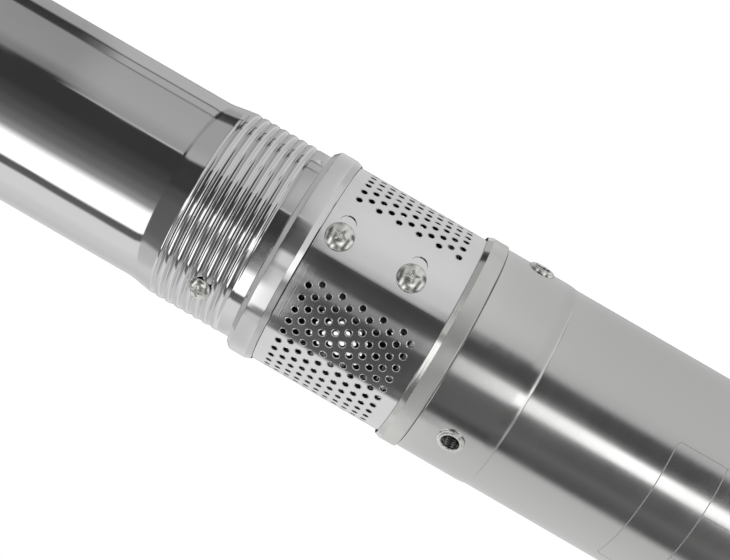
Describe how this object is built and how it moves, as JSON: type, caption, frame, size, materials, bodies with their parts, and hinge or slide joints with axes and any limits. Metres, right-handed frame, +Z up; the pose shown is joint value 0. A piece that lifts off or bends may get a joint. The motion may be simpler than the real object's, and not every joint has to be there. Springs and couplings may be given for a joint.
{
  "type": "borehole submersible pump",
  "caption": "Slim borehole submersible pump: canned motor, suction body with wrapped perforated strainer, and a steel barrel with a helical rotor inside.",
  "frame": {"origin": "centre of the underside of the bottom cap, on the pump axis", "axes": "+Z up along the pump axis towards the outlet; -Y faces the side that the picture shows"},
  "size_m": [0.0764, 0.0768, 0.65],
  "materials": {
    "cast_steel": "fine cast and turned stainless steel, matte",
    "dark_steel": "dark oiled steel",
    "black_rubber": "moulded rubber",
    "cast_aluminium": "as cast",
    "bearing_steel": "ground or plated steel",
    "lamination_steel": "stacked sheet steel",
    "copper_winding": "varnished copper wire",
    "brushed_stainless": "brushed stainless steel",
    "polished_stainless": "mirror polished stainless steel"
  },
  "bodies": {
    "housing": {"bottom_cap": "cast_steel", "oil_plug": "dark_steel", "diaphragm": "black_rubber", "lower_bracket": "cast_aluminium", "motor_bearings": "bearing_steel", "stator_core": "lamination_steel", "windings": "copper_winding", "motor_shell": "brushed_stainless", "threaded_bosses": "bearing_steel", "motor_head": "cast_steel", "shaft_seal": "black_rubber", "cable_gland": "black_rubber", "intake_body": "cast_steel", "foot_screws": "bearing_steel", "strainer": "brushed_stainless", "strainer_screws": "bearing_steel", "pump_barrel": "polished_stainless", "barrel_lock_screws": "bearing_steel", "discharge_head": "cast_steel", "stator_sleeve": "brushed_stainless", "stator_rubber": "black_rubber"},
    "shaft": {"motor_shaft": "bearing_steel", "rotor_core": "lamination_steel", "sand_slinger": "black_rubber", "shaft_coupling": "brushed_stainless", "coupling_pin": "bearing_steel"},
    "orbit": {"pin_sleeve": "brushed_stainless"},
    "rotor": {"screw_rotor": "polished_stainless", "rotor_pin": "bearing_steel"},
    "rod": {"drive_rod": "brushed_stainless"}
  },
  "joints": [
    {"name": "shaft_spin", "type": "hinge", "parent": "housing", "child": "shaft", "pos_m": [0, 0, 0.25], "axis": [0, 0, 1], "continuous": true},
    {"name": "rotor_orbit", "type": "hinge", "parent": "housing", "child": "orbit", "pos_m": [0, 0, 0.4], "axis": [0, 0, 1], "continuous": true},
    {"name": "rotor_spin", "type": "hinge", "parent": "orbit", "child": "rotor", "pos_m": [0.0025, 0, 0.4092], "axis": [0, 0, 1], "continuous": true},
    {"name": "rod_spin", "type": "hinge", "parent": "orbit", "child": "rod", "pos_m": [0, 0, 0.3112], "axis": [0.0255, 0, 0.9997], "continuous": true}
  ],
  "couplings": [
    {"joint": "rotor_orbit", "follows": "shaft_spin", "ratio": -1},
    {"joint": "rotor_spin", "follows": "shaft_spin", "ratio": 2},
    {"joint": "rod_spin", "follows": "shaft_spin", "ratio": 2}
  ]
}
